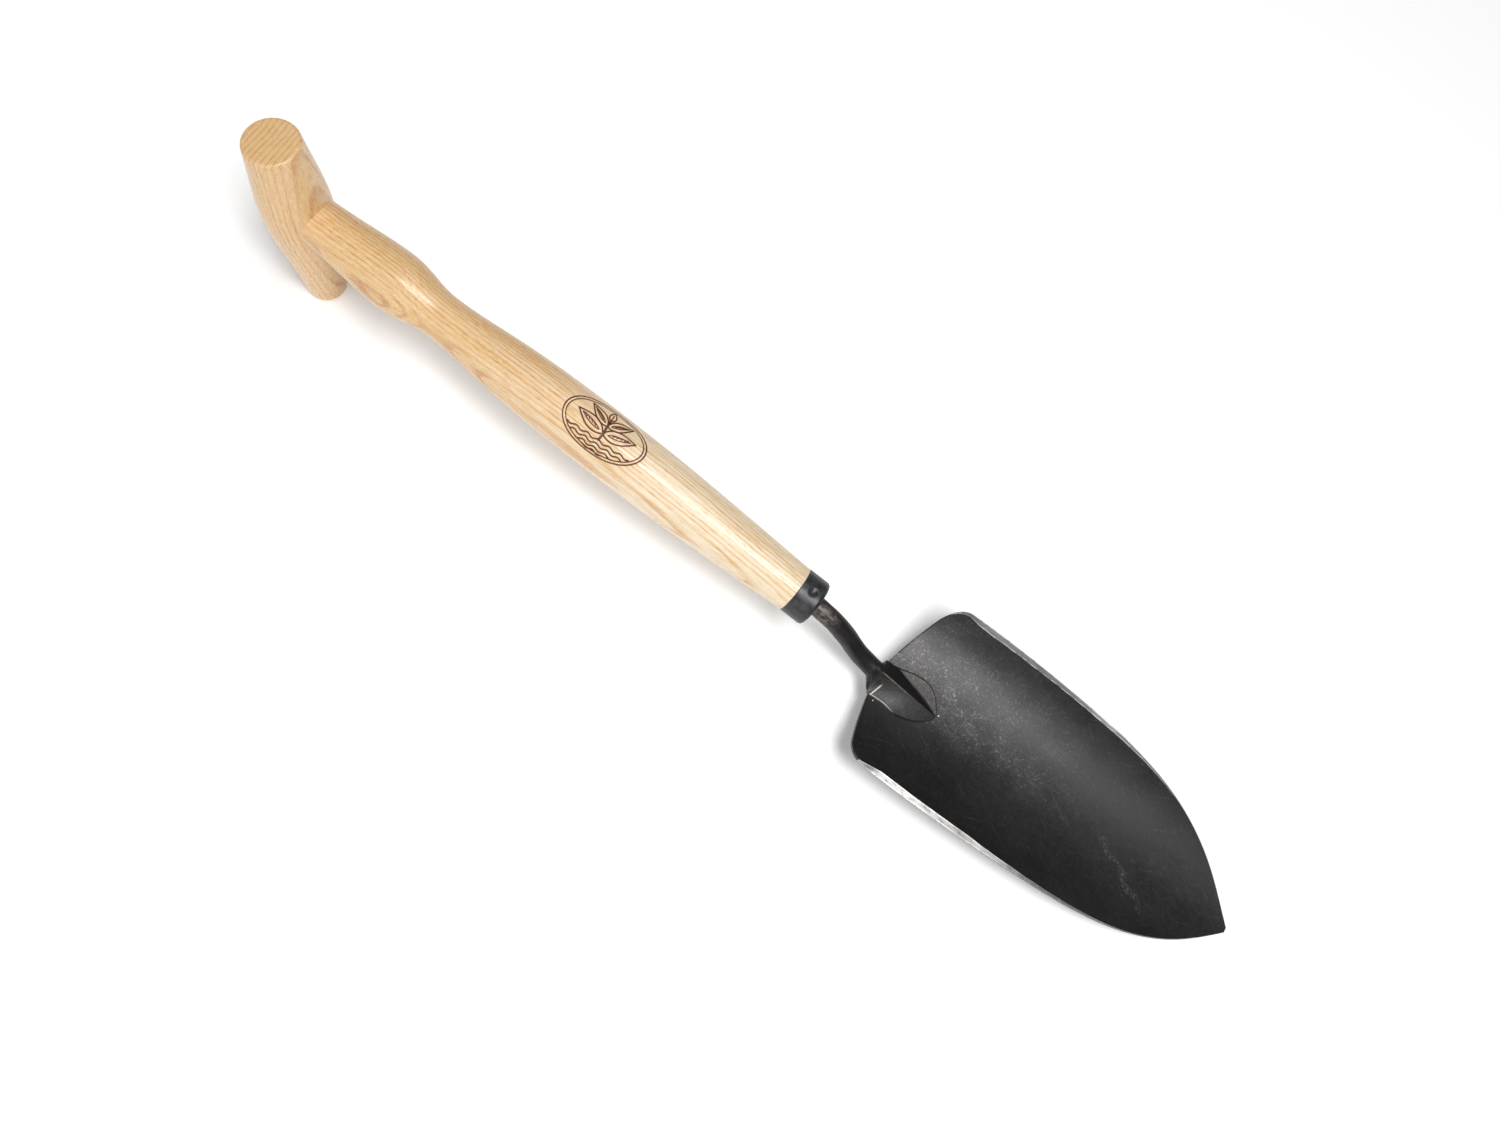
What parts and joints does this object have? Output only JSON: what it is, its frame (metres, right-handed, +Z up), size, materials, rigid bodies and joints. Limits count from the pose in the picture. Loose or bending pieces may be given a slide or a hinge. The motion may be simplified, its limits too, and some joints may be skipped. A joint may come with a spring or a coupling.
{
  "type": "hand transplanter",
  "caption": "Hand transplanter: long dished forged steel blade with ground sides, cranked neck with a ridged foot, steel ferrule and turned ash shaft with an ash cross grip.",
  "frame": {"origin": "on the table under the middle of the tool's box, with the tool lying hollow side up on its grip and its point", "axes": "+Z up, +X from the grip to the blade's point, +Y to the left when looking along +X"},
  "size_m": [0.4764, 0.0788, 0.0918],
  "materials": {
    "forged_blade": "blackened forged steel, satin, with bare ground edges",
    "forged_neck": "blackened forged steel, satin",
    "ferrule_steel": "blue-black steel, semi-gloss",
    "pin_steel": "blue-black steel, satin",
    "ash_shaft": "clear varnished ash, straight grain",
    "ash_grip": "clear varnished ash, end grain on both ends"
  },
  "bodies": {
    "root": {"blade": "forged_blade", "neck": "forged_neck", "ferrule": "ferrule_steel", "ferrule_pin": "pin_steel", "shaft": "ash_shaft", "grip": "ash_grip"}
  },
  "joints": []
}
